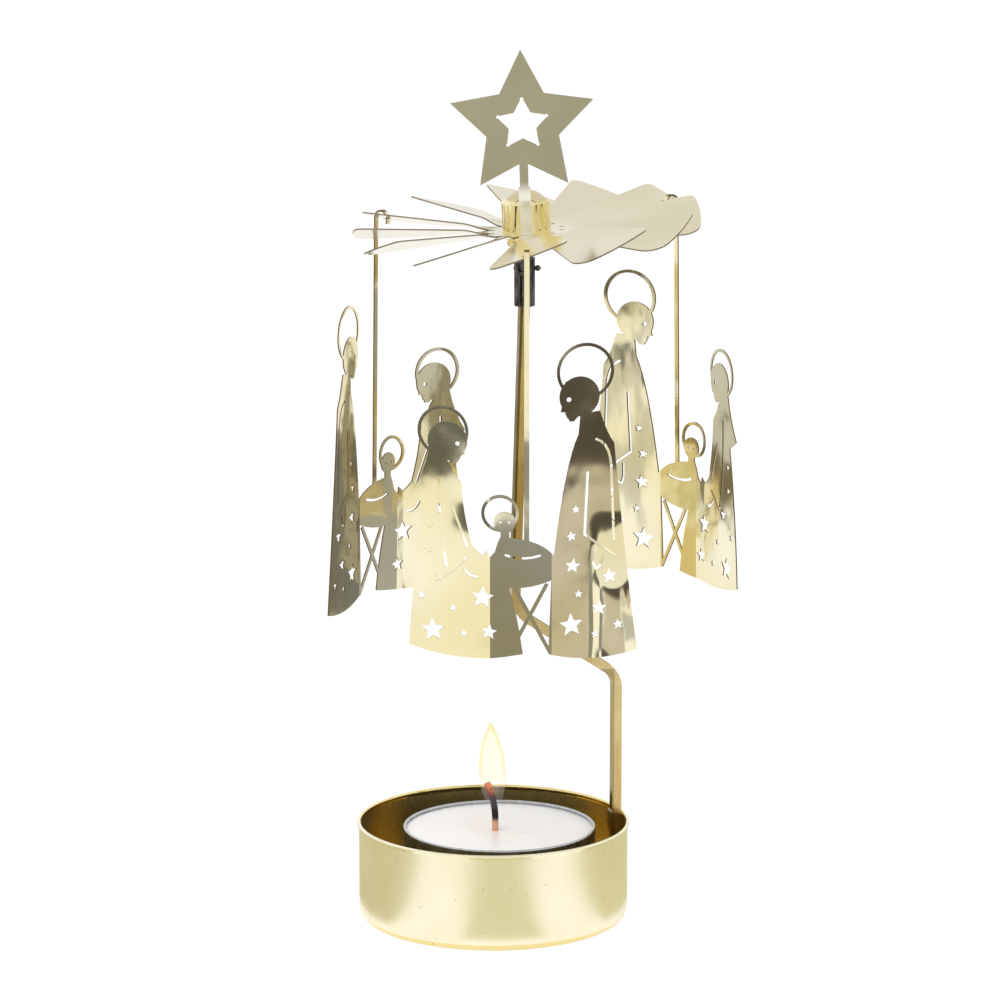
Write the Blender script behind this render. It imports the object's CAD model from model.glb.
import math

import bpy
import bmesh
import numpy as np
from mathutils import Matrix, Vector


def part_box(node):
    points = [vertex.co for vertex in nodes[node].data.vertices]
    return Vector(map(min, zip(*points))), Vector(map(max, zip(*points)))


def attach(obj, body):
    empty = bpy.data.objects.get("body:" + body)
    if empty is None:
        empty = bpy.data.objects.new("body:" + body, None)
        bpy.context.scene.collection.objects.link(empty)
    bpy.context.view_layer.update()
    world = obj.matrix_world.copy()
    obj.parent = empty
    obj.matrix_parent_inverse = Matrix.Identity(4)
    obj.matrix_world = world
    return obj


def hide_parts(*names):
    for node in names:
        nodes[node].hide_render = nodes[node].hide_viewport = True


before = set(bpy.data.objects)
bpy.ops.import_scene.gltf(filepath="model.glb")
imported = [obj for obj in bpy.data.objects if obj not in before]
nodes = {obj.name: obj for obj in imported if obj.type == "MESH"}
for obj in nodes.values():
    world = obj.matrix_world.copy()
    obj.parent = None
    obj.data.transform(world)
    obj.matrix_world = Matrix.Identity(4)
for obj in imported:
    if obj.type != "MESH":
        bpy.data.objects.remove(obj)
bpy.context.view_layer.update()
MM = 0.001


# Tray: drawn from one sheet of steel and lacquered a pale satin gold. Outside it is softly
# brushed by the drawing die; inside it is darker and shinier, and its rim is rolled over a wire.
class Wire:
    """A value in a node tree. Arithmetic on it adds Math nodes."""

    def __init__(self, tree, socket):
        self.tree = tree
        self.socket = socket

    def maths(self, operation, a, b=0.0):
        return self.tree.add("ShaderNodeMath", {"operation": operation}, {0: a, 1: b})

    def __add__(self, other):
        return self.maths("ADD", self, other)

    def __sub__(self, other):
        return self.maths("SUBTRACT", self, other)

    def __rsub__(self, other):
        return self.maths("SUBTRACT", other, self)

    def __mul__(self, other):
        return self.maths("MULTIPLY", self, other)

    def __truediv__(self, other):
        return self.maths("DIVIDE", self, other)

    def __lt__(self, other):
        return self.maths("LESS_THAN", self, other)

    def __gt__(self, other):
        return self.maths("GREATER_THAN", self, other)

    def at_least(self, least):
        return self.maths("MAXIMUM", self, least)

    def size(self):
        return self.maths("ABSOLUTE", self)

    def root(self):
        return self.maths("SQRT", self)

    def eased(self, low, high):
        """0 below low, 1 above high and a smooth step between them."""
        return self.tree.add(
            "ShaderNodeMapRange",
            {"interpolation_type": "SMOOTHSTEP"},
            {"Value": self, "From Min": low, "From Max": high},
        )

    __radd__ = __add__
    __rmul__ = __mul__


class Tree:
    """A node tree that is built one call at a time."""

    def __init__(self, tree):
        self.tree = tree

    def add(self, kind, settings=None, inputs=None, out=0):
        """Adds a node, sets its settings and then its sockets, and gives one of its outputs."""
        node = self.tree.nodes.new(kind)
        for name, value in (settings or {}).items():
            if name == "stops":
                ramp = node.color_ramp.elements
                while len(ramp) < len(value):
                    ramp.new(0.5)
                for element, (place, colour) in zip(ramp, value):
                    element.position = place
                    element.color = (*colour, 1)
            else:
                setattr(node, name, value)
        for name, value in (inputs or {}).items():
            if isinstance(value, Wire):
                self.tree.links.new(value.socket, node.inputs[name])
            elif isinstance(value, tuple) and len(value) == 3 and node.inputs[name].type == "RGBA":
                node.inputs[name].default_value = (*value, 1)
            else:
                node.inputs[name].default_value = value
        return Wire(self, node.outputs[out]) if node.outputs else node


class Paint(Tree):
    """A material around one Principled shader. Its constants are given by socket name."""

    def __init__(self, name, **constants):
        self.material = bpy.data.materials.new(name)
        self.material.use_nodes = True
        super().__init__(self.material.node_tree)
        self.shader = self.tree.nodes["Principled BSDF"]
        for socket, value in constants.items():
            self.shader.inputs[socket.replace("_", " ")].default_value = value
        self.place = self.add("ShaderNodeTexCoord", out="Object")

    def axes(self):
        """The x, y and z of the point on the piece, in metres."""
        return [
            self.add("ShaderNodeSeparateXYZ", {}, {0: self.place}, out=axis) for axis in "XYZ"
        ]

    def edge(self, direction):
        """1 on the cut edges of a sheet that faces along a direction, and 0 on its two faces."""
        normal = self.add("ShaderNodeTexCoord", out="Normal")
        settings = {"operation": "DOT_PRODUCT"}
        along = self.add("ShaderNodeVectorMath", settings, {0: normal, 1: direction}, out="Value")
        return 1 - along.size().eased(0.5, 0.7)

    def noise(self, scale, detail=2.0, stretch=(1, 1, 1), shift=(0, 0, 0), roughness=0.5):
        """Noise from 0 to 1, of about scale cells per metre, more along an axis by its stretch."""
        moved = self.add(
            "ShaderNodeMapping", {}, {"Vector": self.place, "Location": shift, "Scale": stretch}
        )
        return self.add(
            "ShaderNodeTexNoise",
            {},
            {"Vector": moved, "Scale": scale, "Detail": detail, "Roughness": roughness},
        )

    def mix(self, share, a, b, blend="MIX"):
        """Colour a, going over to colour b as share goes from 0 to 1."""
        settings = {"data_type": "RGBA", "blend_type": blend}
        return self.add("ShaderNodeMix", settings, {0: share, 6: a, 7: b}, out=2)

    def feed(self, **wires):
        """Links what varies over the surface to the shader's sockets."""
        for socket, wire in wires.items():
            self.tree.links.new(wire.socket, self.shader.inputs[socket.replace("_", " ")])

    def relief(self, *layers):
        """Bumps, each a height from 0 to 1 and the depth in metres that 1 stands for."""
        normal = None
        for height, depth in layers:
            inputs = {"Height": height, "Distance": depth, "Strength": 1.0}
            if normal:
                inputs["Normal"] = normal
            normal = self.add("ShaderNodeBump", {}, inputs)
        self.feed(Normal=normal)


def colour(red, green, blue):
    """A colour as it looks on a screen, from 0 to 255, as the linear values that a socket takes."""
    return tuple(
        v / 255 / 12.92 if v / 255 <= 0.04045 else ((v / 255 + 0.055) / 1.055) ** 2.4
        for v in (red, green, blue)
    )


def dress(node, paint):
    """Gives a piece its one material and the record's slot that it takes its finish from."""
    piece = nodes[node] if isinstance(node, str) else node
    piece.data.materials.clear()
    piece.data.materials.append(paint.material)
    return piece


tray_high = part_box("base_tray")[1]
tray_r = tray_high.x
tray_h = tray_high.z
bead_d = 0.8 * MM
inner_r = tray_r - bead_d + 0.2 * MM
floor_top = 0.3 * MM

satin = Paint("satin_gold", Metallic=1.0, Coat_Roughness=0.22, Coat_IOR=1.45)
x, y, z = satin.axes()
from_axis = (x * x + y * y).root()
inside = (from_axis < inner_r) * (z > floor_top)
rim = z.eased(tray_h - 1.1 * MM, tray_h - 0.7 * MM)
mottle = satin.noise(55, 3, shift=(3, 1, 0))
grain = satin.noise(2600, 2, stretch=(1, 1, 0.35))
outer = satin.mix(mottle.eased(0.35, 0.7), colour(244, 236, 202), colour(249, 242, 212))
inner = satin.mix(mottle, colour(236, 212, 140), colour(244, 226, 162))
specks = satin.noise(1300, 0, shift=(0, 7, 2)).eased(0.79, 0.84)
metal = satin.mix(inside, outer, inner)
satin.feed(
    Base_Color=satin.mix(specks * 0.3, metal, colour(150, 128, 80)),
    Roughness=0.34 + grain * 0.05 - inside * 0.1 - rim * 0.16,
    Coat_Weight=0.45 - inside * 0.35,
)
satin.relief(
    (grain, 0.003 * MM),
    (satin.noise(160, 2), 0.04 * MM),
    (satin.noise(420, 1, shift=(1, 1, 9)) * rim, 0.12 * MM),
)
dress("base_tray", satin)


# Arm and clip: a strip of brass-plated steel rolled into a channel and bent twice, so it has
# drawing lines along its length. A small folded clip holds its foot inside the tray's wall.
strip = Paint("drawn_strip", Metallic=1.0, Coat_Roughness=0.12, Coat_IOR=1.45)
x, y, z = strip.axes()
lines = strip.noise(1500, 2, stretch=(1, 1, 0.03))
blotch = strip.noise(90, 3, stretch=(1, 1, 0.4), shift=(0, 2, 5))
gold = strip.mix(blotch.eased(0.3, 0.7), colour(196, 170, 108), colour(224, 205, 150))
arm_turn = math.radians(12)
pole_lean = math.radians(1.8)
pole_top = 130 * MM
pole_away = 6.3 * MM
leg_away = 24.5 * MM
pole_foot = 68 * MM
leg_top = 50 * MM
outward = x * math.cos(arm_turn) + y * math.sin(arm_turn)
pole_side = outward - (z - pole_top) * math.tan(pole_lean) - pole_away
pole_back = (1 - pole_side.eased(-0.45 * MM, -0.25 * MM)) * (z > pole_foot)
leg_back = (1 - outward.eased(leg_away - 0.1 * MM, leg_away + 0.1 * MM)) * (z < leg_top)
gold = strip.mix((pole_back + leg_back * 0.5) * 0.85, gold, colour(84, 74, 40))
strip.feed(
    Base_Color=strip.mix(lines.eased(0.55, 0.8) * 0.5, gold, colour(140, 104, 48)),
    Roughness=0.16 + lines * 0.14,
    Coat_Weight=0.2 + blotch * 0.1,
)
strip.relief((lines, 0.02 * MM), (strip.noise(500, 2), 0.03 * MM))
for part in ("support_arm", "arm_clip"):
    dress(part, strip)


# Sleeve, cross pin and needle: dark blued steel, rolled into a tube with an open seam and
# pinned to the turned needle. The tube's mouth is curled over in front.
blued = Paint("dark_steel", Metallic=1.0)
scale_marks = blued.noise(700, 4, stretch=(1, 1, 0.5))
blued.feed(
    Base_Color=blued.mix(scale_marks.eased(0.35, 0.75), colour(62, 60, 60), colour(128, 124, 122)),
    Roughness=0.2 + scale_marks * 0.25,
)
blued.relief((blued.noise(900, 3), 0.05 * MM))
for part in ("needle_sleeve", "sleeve_pin"):
    dress(part, blued)

turned = Paint("needle_steel", Metallic=1.0)
rings = turned.noise(4000, 1, stretch=(0.05, 0.05, 1))
turned.feed(
    Base_Color=turned.mix(rings, colour(160, 160, 162), colour(205, 205, 206)),
    Roughness=0.15 + rings * 0.15,
)
turned.relief((rings, 0.004 * MM))
dress("needle", turned)


# Hub: a thimble drawn from bright brass, domed on top, where it rests on the needle's point,
# and beaded out below the rotor's sheet to hold it.
bright = Paint("mirror_brass", Metallic=1.0)
dents = bright.noise(330, 2, stretch=(1, 1, 0.5), shift=(4, 0, 0))
tarnish = bright.noise(240, 3)
skirt = bright.mix(tarnish.eased(0.3, 0.75), colour(250, 240, 196), colour(234, 214, 142))
shoulder = 145 * MM
dome = bright.axes()[2].eased(shoulder - 0.3 * MM, shoulder + 0.3 * MM)
bright.feed(
    Base_Color=bright.mix(dome, skirt, colour(208, 194, 156)),
    Roughness=0.03 + tarnish * 0.03,
)
bright.relief((dents, 0.03 * MM), (bright.noise(2400, 2, stretch=(1, 1, 0.1)), 0.004 * MM))
dress("hub_cap", bright)


# Rotor: one thin sheet, slit into twelve blades that are twisted to the same pitch. The sheet
# is polished pale brass, and its stamped edges are left raw and brown.
pale = Paint("rotor_sheet", Metallic=1.0)
wave = pale.noise(40, 1, shift=(0, 0, 3))
rolled = pale.noise(1800, 2, stretch=(1, 0.2, 1))
cut = pale.edge((0, 0, 1))
sheet = pale.mix(wave.eased(0.3, 0.7), colour(216, 207, 178), colour(224, 217, 192))
pale.feed(
    Base_Color=pale.mix(cut, sheet, colour(148, 138, 116)),
    Roughness=0.14 + rolled * 0.04 + cut * 0.2,
)
pale.relief((wave, 0.1 * MM), (rolled, 0.001 * MM))


def smooth_copy(node, name, sharp=math.radians(30)):
    """A copy of a CAD piece whose facets are merged and shaded as one smooth sheet."""
    mesh = nodes[node].data.copy()
    mesh.name = name
    form = bmesh.new()
    form.from_mesh(mesh)
    bmesh.ops.remove_doubles(form, verts=form.verts, dist=0.001 * MM)
    bmesh.ops.recalc_face_normals(form, faces=form.faces)
    for face in form.faces:
        face.smooth = True
    for seam in form.edges:
        seam.smooth = len(seam.link_faces) == 2 and seam.calc_face_angle(0) < sharp
    form.to_mesh(mesh)
    form.free()
    piece = bpy.data.objects.new(name, mesh)
    piece.matrix_world = nodes[node].matrix_world
    bpy.context.scene.collection.objects.link(piece)
    return piece


rotor = smooth_copy("rotor_disc", "smooth_rotor")
dress(rotor, pale)
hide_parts("rotor_disc")
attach(rotor, "carousel")


# Star: stamped from sheet with a star cut out of its middle, and dulled to a khaki gold. Its
# stem jogs forward and runs down the front of the hub as a strip, which stayed bright.
flat = Paint("star_sheet", Metallic=1.0)
sheen = flat.noise(60, 2, shift=(5, 5, 5))
cut = flat.edge((0, 1, 0))
stem_foot = 148 * MM
dulled = flat.axes()[2].eased(stem_foot - 1.5 * MM, stem_foot + 1.5 * MM)
khaki = flat.mix(sheen.eased(0.3, 0.7), colour(156, 150, 121), colour(163, 157, 128))
sheet = flat.mix(dulled, colour(240, 236, 220), khaki)
flat.feed(
    Base_Color=flat.mix(cut, sheet, colour(96, 74, 56)),
    Roughness=0.1 + sheen * 0.06 + cut * 0.2,
)
flat.relief((sheen, 0.15 * MM), (flat.noise(2000, 2, stretch=(1, 1, 0.2)), 0.003 * MM))
dress("top_star", flat)


# Pendants: each is stamped from one mirror-bright brass sheet, with its hanger, and its wings
# are folded back by hand, which leaves soft waves in the sheet.
robe_foot, robe_knee = 74 * MM, 90 * MM
man_inner, man_outer = 18 * MM, 21 * MM
for part, azimuth in (("pendant_front", 270), ("pendant_right", 42), ("pendant_left", 142)):
    mirror = Paint(part + "_sheet", Metallic=1.0)
    x, y, z = mirror.axes()
    across = (math.cos(math.radians(azimuth)), math.sin(math.radians(azimuth)), 0)
    buckle = mirror.noise(42, 1, shift=(1, 4, 2))
    ripple = mirror.noise(130, 2, stretch=(1, 1, 0.6), shift=(2, 2, 7))
    tint = mirror.noise(35, 2, shift=(8, 1, 1))
    creased = (1 - z.eased(robe_foot, robe_knee)) * x.eased(man_inner, man_outer) * (y < -10 * MM)
    creases = mirror.noise(95, 1, stretch=(1, 1, 0.45), shift=(3, 3, 3), roughness=0.4)
    cut = mirror.edge(across)
    sheet = mirror.mix(tint.eased(0.3, 0.7), colour(240, 233, 204), colour(229, 217, 168))
    mirror.feed(
        Base_Color=mirror.mix(cut, sheet, colour(116, 92, 50)),
        Roughness=0.06 + ripple * 0.05 + cut * 0.25,
    )
    mirror.relief(
        (buckle, 1.2 * MM),
        (ripple, 0.12 * MM),
        (creases * creased, 3.0 * MM),
        (mirror.noise(3000, 2, stretch=(1, 1, 0.15)), 0.002 * MM),
    )
    dress(part, mirror)


# Tealight: a thin aluminium cup, crimped where it was drawn, filled with white wax that is
# soft and glossy near the flame. The wick is held by a stamped tab and is charred above the wax.
foil = Paint("cup_aluminium", Metallic=1.0)
crimps = foil.noise(500, 2, stretch=(1, 1, 0.12))
foil.feed(
    Base_Color=foil.mix(crimps, colour(168, 170, 174), colour(208, 210, 214)),
    Roughness=0.2 + crimps * 0.15,
)
foil.relief((crimps, 0.08 * MM))
for part in ("candle_cup", "wick_tab"):
    dress(part, foil)

wax_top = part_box("candle_wax")[1].z
wick_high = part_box("candle_wick")[1]
wick_r = 0.65 * MM
wick_x = wick_high.x - wick_r
wax = Paint(
    "white_wax",
    Subsurface_Weight=0.35,
    Subsurface_Radius=(0.004, 0.003, 0.002),
    Subsurface_Scale=1.0,
)
x, y, z = wax.axes()
off = ((x - wick_x) * (x - wick_x) + y * y).root()
pool = 1 - off.eased(3 * MM, 13 * MM)
cloud = wax.noise(160, 4, shift=(2, 0, 0))
wax.feed(
    Base_Color=wax.mix(
        pool * cloud.eased(0.3, 0.8), colour(243, 240, 238), colour(236, 224, 216)
    ),
    Roughness=0.42 - pool * 0.2,
)
wax.relief((cloud, 0.12 * MM), (wax.noise(900, 3), 0.02 * MM))
dress("candle_wax", wax)

char = Paint("charred_wick", Emission_Strength=1.0)
x, y, z = char.axes()
braid = char.noise(2600, 2, stretch=(1, 1, 0.6))
soaked = 1 - z.eased(wax_top + 1.2 * MM, wax_top + 2.4 * MM)
ember = z.eased(wick_high.z - 3.4 * MM, wick_high.z - 0.6 * MM)
ash = char.mix(braid.eased(0.45, 0.7), colour(14, 11, 10), colour(60, 34, 22))
glow = char.mix(ember * braid.eased(0.3, 0.6), (0, 0, 0), colour(224, 84, 22))
char.feed(
    Base_Color=char.mix(soaked, ash, colour(212, 160, 128)),
    Roughness=0.85 - soaked * 0.4,
    Emission_Color=glow,
)
char.relief((braid, 0.25 * MM))
dress("candle_wick", char)


# Flame: it stands on the wick, white-hot inside a thin yellow skin, and clear with a blue
# foot where it leaves the wax. A core inside the skin gives the white.
flame_foot = wax_top + 3.6 * MM
flame_h = 18.4 * MM
flame_r = 2.85 * MM
flame_drift = 0.9 * MM


def teardrop(name, foot, height, radius, sides=48, rings=40):
    """A closed flame shape: round low down and drawn out to a point above."""
    form = bmesh.new()
    rows = []
    for i in range(1, rings):
        t = i / rings
        wide = radius * (math.sin(math.pi * t**0.88) ** 0.75) * (1 - 0.12 * t)
        middle_x = wick_x - flame_drift * t**0.5
        level = foot + height * t
        rows.append(
            [
                form.verts.new((middle_x + wide * math.cos(a), wide * math.sin(a), level))
                for a in np.linspace(0, 2 * math.pi, sides, endpoint=False)
            ]
        )
    ends = [
        form.verts.new((wick_x, 0, foot)),
        form.verts.new((wick_x - flame_drift, 0, foot + height)),
    ]
    for low, high in zip(rows, rows[1:]):
        for j in range(sides):
            k = (j + 1) % sides
            form.faces.new((low[j], low[k], high[k], high[j]))
    for j in range(sides):
        k = (j + 1) % sides
        form.faces.new((ends[0], rows[0][k], rows[0][j]))
        form.faces.new((ends[1], rows[-1][j], rows[-1][k]))
    mesh = bpy.data.meshes.new(name)
    form.to_mesh(mesh)
    form.free()
    for face in mesh.polygons:
        face.use_smooth = True
    piece = bpy.data.objects.new(name, mesh)
    bpy.context.scene.collection.objects.link(piece)
    return piece


def fire(name, stops, clear, solid, low, high, strength):
    """A glowing gas: its colour by height, and how solid it is below and above a soft step."""
    paint = Paint(
        name,
        Base_Color=(0, 0, 0, 1),
        Specular_IOR_Level=0.0,
        Roughness=1.0,
        Emission_Strength=strength,
    )
    height = paint.axes()[2]
    share = (height - flame_foot) / flame_h
    tone = paint.add("ShaderNodeValToRGB", {"stops": stops}, {0: share})
    paint.feed(Emission_Color=tone, Alpha=clear + (solid - clear) * share.eased(low, high))
    return paint


skin = teardrop("flame_skin", flame_foot, flame_h, flame_r)
skin_stops = [
    (0.0, colour(150, 170, 225)),
    (0.16, colour(232, 214, 226)),
    (0.34, colour(253, 228, 176)),
    (0.6, colour(254, 240, 168)),
    (1.0, colour(248, 234, 150)),
]
dress(skin, fire("flame_gas", skin_stops, 0.06, 0.5, 0.2, 0.55, 1.0))
core = teardrop("flame_core", flame_foot + 3.2 * MM, 13.6 * MM, 2.15 * MM)
core_stops = [(0.0, colour(255, 240, 214)), (0.4, colour(255, 253, 244)), (0.6, (1, 1, 1))]
dress(core, fire("flame_heart", core_stops, 0.02, 0.97, 0.3, 0.5, 1.3))
for gas in (skin, core):
    gas.visible_shadow = False
    gas.visible_diffuse = False
    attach(gas, "tealight")


# Studio: a pale floor that runs out of the view, a soft lamp above and one at each side. Cards
# lie on the floor where only the polished metal sees them, and give it its dark reflections.
def seen_by_eye(tree):
    """1 for what the camera sees, straight, mirrored or through a clear piece, and 0 for light."""
    direct = tree.add("ShaderNodeLightPath", out="Is Camera Ray")
    mirrored = tree.add("ShaderNodeLightPath", out="Is Glossy Ray")
    through = tree.add("ShaderNodeLightPath", out="Is Transmission Ray")
    return direct.at_least(mirrored).at_least(through)


def glowing(name, strength, tone=(1, 1, 1), shadowed=False):
    """A surface that shows its own colour, and that also takes some shadow where that is asked."""
    material = bpy.data.materials.new(name)
    material.use_nodes = True
    tree = Tree(material.node_tree)
    tree.tree.nodes.clear()
    own = tree.add("ShaderNodeEmission", {}, {"Color": (*tone, 1), "Strength": strength})
    if shadowed:
        lit = tree.add("ShaderNodeBsdfDiffuse", {}, {"Color": (0.8, 0.8, 0.8, 1)})
        own = tree.add("ShaderNodeMixShader", {}, {0: seen_by_eye(tree) * 0.8, 1: lit, 2: own})
    tree.add("ShaderNodeOutputMaterial", {}, {0: own})
    return material


def laid(name, outline, height, material):
    """A flat shape that lies level at a height, and isn't part of the object."""
    mesh = bpy.data.meshes.new(name)
    mesh.from_pydata([(u, v, height) for u, v in outline], [], [tuple(range(len(outline)))])
    mesh.materials.append(material)
    piece = bpy.data.objects.new(name, mesh)
    bpy.context.scene.collection.objects.link(piece)
    return piece


reach = 8.0
corners = [(-reach, -reach), (reach, -reach), (reach, reach), (-reach, reach)]
laid("floor", corners, 0, glowing("floor_paper", 1.16, shadowed=True))

# Each card is a sector round the tray's axis: its middle and spread in degrees, counted to the
# right from the camera's side, its near and far edge in metres, its brightness and its tone.
white = (1, 1, 1)
cards = {
    "crib_mat": (0, 34, 0.24, 0.6, 0.32, white),
    "man_near_mat": (38, 40, 0.2, 0.45, 0.68, (1, 0.93, 0.85)),
    "man_far_mat": (38, 40, 0.45, 1.2, 0.09, (1, 0.86, 0.8)),
    "woman_far_mat": (-38, 42, 0.51, 1.2, 0.13, (1, 1, 0.9)),
    "left_crib_mat": (102, 38, 0.2, 0.62, 0.42, white),
    "left_wing_mat": (142, 40, 0.22, 0.45, 0.2, white),
    "left_inner_mat": (66, 14, 0.36, 0.66, 0.6, white),
    "right_crib_mat": (-96, 26, 0.2, 0.6, 0.8, (1, 0.84, 0.46)),
    "right_body_mat": (-66, 12, 0.2, 0.62, 0.74, white),
    "right_wing_low_mat": (-134, 40, 0.3, 0.42, 0.2, (1, 0.85, 0.5)),
    "right_wing_high_mat": (-134, 40, 0.42, 0.66, 0.66, white),
    "tray_front_mat": (5, 40, 0.03, 0.19, 0.74, (1, 0.97, 0.68)),
    "tray_left_mat": (-116, 118, 0.03, 0.19, 0.64, (1, 0.93, 0.62)),
    "tray_right_mat": (122, 116, 0.03, 0.19, 0.7, (1, 0.95, 0.62)),
    "hub_left_mat": (-72, 24, 0.66, 2.0, 0.02, white),
    "hub_left_outer_mat": (-112, 16, 0.66, 2.0, 0.02, white),
    "hub_left_gold_mat": (-150, 58, 0.66, 2.0, 0.6, (1, 0.8, 0.4)),
    "hub_right_mat": (83, 24, 0.66, 2.0, 0.02, white),
    "hub_right_gold_mat": (138, 84, 0.66, 2.0, 0.5, (1, 0.8, 0.4)),
}
card_height = 2 * MM
for name, (turn, spread, near, far, brightness, tone) in cards.items():
    turns = np.radians(np.linspace(turn - spread / 2, turn + spread / 2, 9) - 90)
    inner = [(near * math.cos(a), near * math.sin(a)) for a in turns]
    outer = [(far * math.cos(a), far * math.sin(a)) for a in turns[::-1]]
    card = laid(name, inner + outer, card_height, glowing(name, brightness, tone))
    card.visible_camera = False
    card.visible_diffuse = False
    card.visible_shadow = False
    card.visible_transmission = False

world = bpy.data.worlds.new("studio")
bpy.context.scene.world = world
world.use_nodes = True
sky = Tree(world.node_tree)
sky.tree.nodes.clear()
brightness = seen_by_eye(sky) * 0.5 + 0.5
light = sky.add("ShaderNodeBackground", {}, {"Color": (1, 1, 1, 1), "Strength": brightness})
sky.add("ShaderNodeOutputWorld", {}, {0: light})


def lamp(name, place, aim, size, power):
    """A soft square lamp that lights the object and isn't itself mirrored in it."""
    data = bpy.data.lights.new(name, "AREA")
    data.size = size
    data.energy = power
    unit = bpy.data.objects.new(name, data)
    unit.location = place
    unit.rotation_euler = (Vector(aim) - Vector(place)).to_track_quat("-Z", "Y").to_euler()
    unit.visible_glossy = False
    bpy.context.scene.collection.objects.link(unit)
    return unit


middle = Vector((0.005, 0, 0.08))
lamp("lamp_above", (-0.3, -0.4, 1.1), middle, 0.9, 9)
lamp("lamp_left", (-1.0, -0.7, 0.7), middle, 0.7, 4)
lamp("lamp_right", (1.0, -0.5, 0.6), middle, 0.7, 3)

# Camera: a long lens that looks a little down on the object, as in the photograph.
eye = Vector((0, -1.1032, 0.3246))
pitch = math.radians(-12.243)
yaw = math.radians(0.07)
ahead = Vector(
    (math.sin(yaw) * math.cos(pitch), math.cos(yaw) * math.cos(pitch), math.sin(pitch))
)
view = bpy.data.cameras.new("view")
view.sensor_width = 36
view.lens = 206
view.clip_start = 0.05
view.clip_end = 50
camera = bpy.data.objects.new("view", view)
camera.location = eye
camera.rotation_mode = "QUATERNION"
camera.rotation_quaternion = ahead.to_track_quat("-Z", "Y")
bpy.context.scene.collection.objects.link(camera)
bpy.context.scene.camera = camera
bpy.context.scene.view_settings.view_transform = "Standard"
